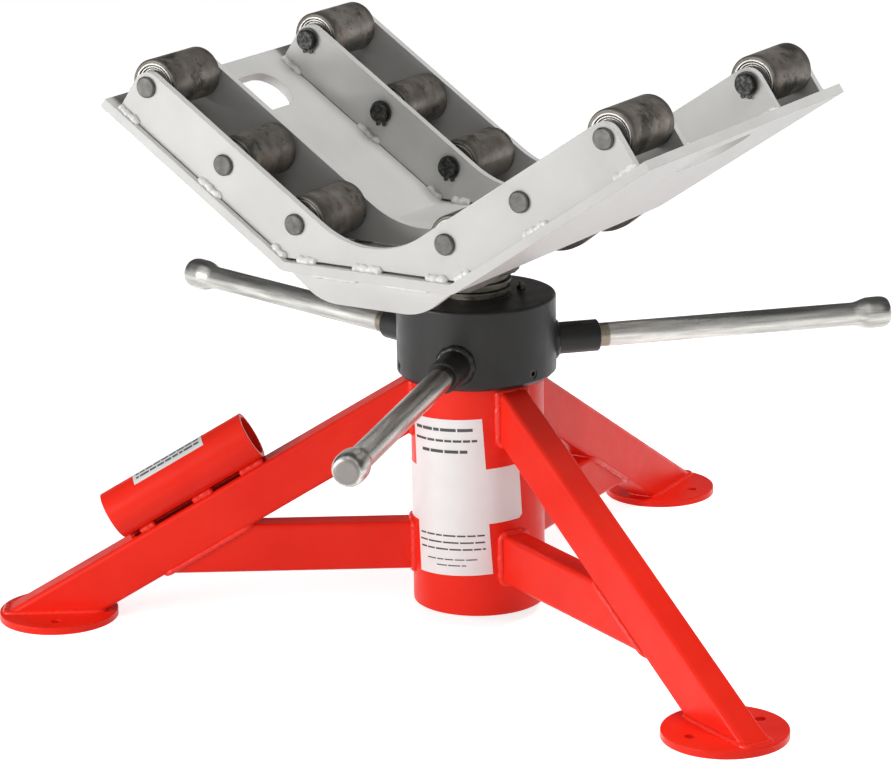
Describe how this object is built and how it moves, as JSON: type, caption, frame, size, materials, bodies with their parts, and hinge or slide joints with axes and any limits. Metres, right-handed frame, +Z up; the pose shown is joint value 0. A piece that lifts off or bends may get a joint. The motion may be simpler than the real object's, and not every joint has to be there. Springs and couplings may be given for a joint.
{
  "type": "pipe stand",
  "caption": "Heavy pipe stand: a three-legged base, a hand-turned nut with bar handles that raises a screw, and a V saddle with steel rollers in which a pipe can turn.",
  "frame": {"origin": "on the screw axis at floor level", "axes": "+Z up along the screw, +X across the V of the saddle, +Y along the pipe"},
  "size_m": [0.917, 0.9627, 0.6066],
  "materials": {
    "red_paint": "gloss",
    "black_finish": "satin",
    "bright_steel": "satin",
    "grey_paint": "satin",
    "dark_steel": "satin",
    "bearing_steel": "satin",
    "roller_steel": "satin",
    "screw_steel": "oiled",
    "cast_metal": "matt",
    "bronze": "satin"
  },
  "bodies": {
    "base": {"base_tube": "red_paint", "brace_left": "red_paint", "brace_rear": "red_paint", "brace_right": "red_paint", "foot_left": "red_paint", "foot_rear": "red_paint", "foot_right": "red_paint", "leg_left": "red_paint", "leg_rear": "red_paint", "leg_right": "red_paint", "screw_bushing": "bronze", "socket_rail": "red_paint", "socket_tube": "red_paint", "stop_ring": "cast_metal", "thrust_washer": "bronze"},
    "collar": {"grease_fitting": "bearing_steel", "handle_bosses": "black_finish", "handle_front": "bright_steel", "handle_left": "bright_steel", "handle_right": "bright_steel", "keeper_screws": "dark_steel", "nut_collar": "black_finish"},
    "guide": {"guide_disc": "cast_metal"},
    "head": {"axle_pins_front_left": "dark_steel", "axle_pins_front_right": "dark_steel", "axle_pins_rear_left": "dark_steel", "axle_pins_rear_right": "dark_steel", "guide_bolt": "bearing_steel", "guide_washer": "bearing_steel", "keel_gussets_inner": "grey_paint", "keel_gussets_outer": "grey_paint", "lift_screw": "screw_steel", "retaining_clips": "dark_steel", "roller_bushings_front_left": "bearing_steel", "roller_bushings_front_right": "bearing_steel", "roller_bushings_rear_left": "bearing_steel", "roller_bushings_rear_right": "bearing_steel", "saddle_plate": "grey_paint", "screw_flange": "grey_paint", "side_plate_front_inner": "grey_paint", "side_plate_front_outer": "grey_paint", "side_plate_rear_inner": "grey_paint", "side_plate_rear_outer": "grey_paint", "socket_block": "grey_paint"},
    "roller_front_left_inner": {"roller_front_left_inner": "roller_steel"},
    "roller_front_left_middle": {"roller_front_left_middle": "roller_steel"},
    "roller_front_left_outer": {"roller_front_left_outer": "roller_steel"},
    "roller_front_right_inner": {"roller_front_right_inner": "roller_steel"},
    "roller_front_right_middle": {"roller_front_right_middle": "roller_steel"},
    "roller_front_right_outer": {"roller_front_right_outer": "roller_steel"},
    "roller_rear_left_inner": {"roller_rear_left_inner": "roller_steel"},
    "roller_rear_left_middle": {"roller_rear_left_middle": "roller_steel"},
    "roller_rear_left_outer": {"roller_rear_left_outer": "roller_steel"},
    "roller_rear_right_inner": {"roller_rear_right_inner": "roller_steel"},
    "roller_rear_right_middle": {"roller_rear_right_middle": "roller_steel"},
    "roller_rear_right_outer": {"roller_rear_right_outer": "roller_steel"}
  },
  "joints": [
    {"name": "collar_turn", "type": "hinge", "parent": "base", "child": "collar", "pos_m": [0, 0, 0.3], "axis": [0, 0, -1], "range_deg": [0, 6745]},
    {"name": "screw_lift", "type": "slide", "parent": "base", "child": "guide", "axis": [0, 0, 1], "range_m": [0, 0.15]},
    {"name": "head_swivel", "type": "hinge", "parent": "guide", "child": "head", "pos_m": [0, 0, 0.067], "axis": [0, 0, 1], "continuous": true},
    {"name": "roller_front_left_inner_spin", "type": "hinge", "parent": "head", "child": "roller_front_left_inner", "pos_m": [-0.08902, -0.14975, 0.45561], "axis": [0, 1, 0], "continuous": true},
    {"name": "roller_front_left_middle_spin", "type": "hinge", "parent": "head", "child": "roller_front_left_middle", "pos_m": [-0.17477, -0.14975, 0.50802], "axis": [0, 1, 0], "continuous": true},
    {"name": "roller_front_left_outer_spin", "type": "hinge", "parent": "head", "child": "roller_front_left_outer", "pos_m": [-0.26827, -0.14975, 0.57989], "axis": [0, 1, 0], "continuous": true},
    {"name": "roller_front_right_inner_spin", "type": "hinge", "parent": "head", "child": "roller_front_right_inner", "pos_m": [0.08902, -0.14975, 0.45561], "axis": [0, 1, 0], "continuous": true},
    {"name": "roller_front_right_middle_spin", "type": "hinge", "parent": "head", "child": "roller_front_right_middle", "pos_m": [0.17477, -0.14975, 0.50802], "axis": [0, 1, 0], "continuous": true},
    {"name": "roller_front_right_outer_spin", "type": "hinge", "parent": "head", "child": "roller_front_right_outer", "pos_m": [0.26827, -0.14975, 0.57989], "axis": [0, 1, 0], "continuous": true},
    {"name": "roller_rear_left_inner_spin", "type": "hinge", "parent": "head", "child": "roller_rear_left_inner", "pos_m": [-0.08902, 0.14975, 0.45561], "axis": [0, 1, 0], "continuous": true},
    {"name": "roller_rear_left_middle_spin", "type": "hinge", "parent": "head", "child": "roller_rear_left_middle", "pos_m": [-0.17477, 0.14975, 0.50802], "axis": [0, 1, 0], "continuous": true},
    {"name": "roller_rear_left_outer_spin", "type": "hinge", "parent": "head", "child": "roller_rear_left_outer", "pos_m": [-0.26827, 0.14975, 0.57989], "axis": [0, 1, 0], "continuous": true},
    {"name": "roller_rear_right_inner_spin", "type": "hinge", "parent": "head", "child": "roller_rear_right_inner", "pos_m": [0.08902, 0.14975, 0.45561], "axis": [0, 1, 0], "continuous": true},
    {"name": "roller_rear_right_middle_spin", "type": "hinge", "parent": "head", "child": "roller_rear_right_middle", "pos_m": [0.17477, 0.14975, 0.50802], "axis": [0, 1, 0], "continuous": true},
    {"name": "roller_rear_right_outer_spin", "type": "hinge", "parent": "head", "child": "roller_rear_right_outer", "pos_m": [0.26827, 0.14975, 0.57989], "axis": [0, 1, 0], "continuous": true}
  ],
  "couplings": [
    {"joint": "screw_lift", "follows": "collar_turn", "m_per_rad": 0.0012732}
  ]
}
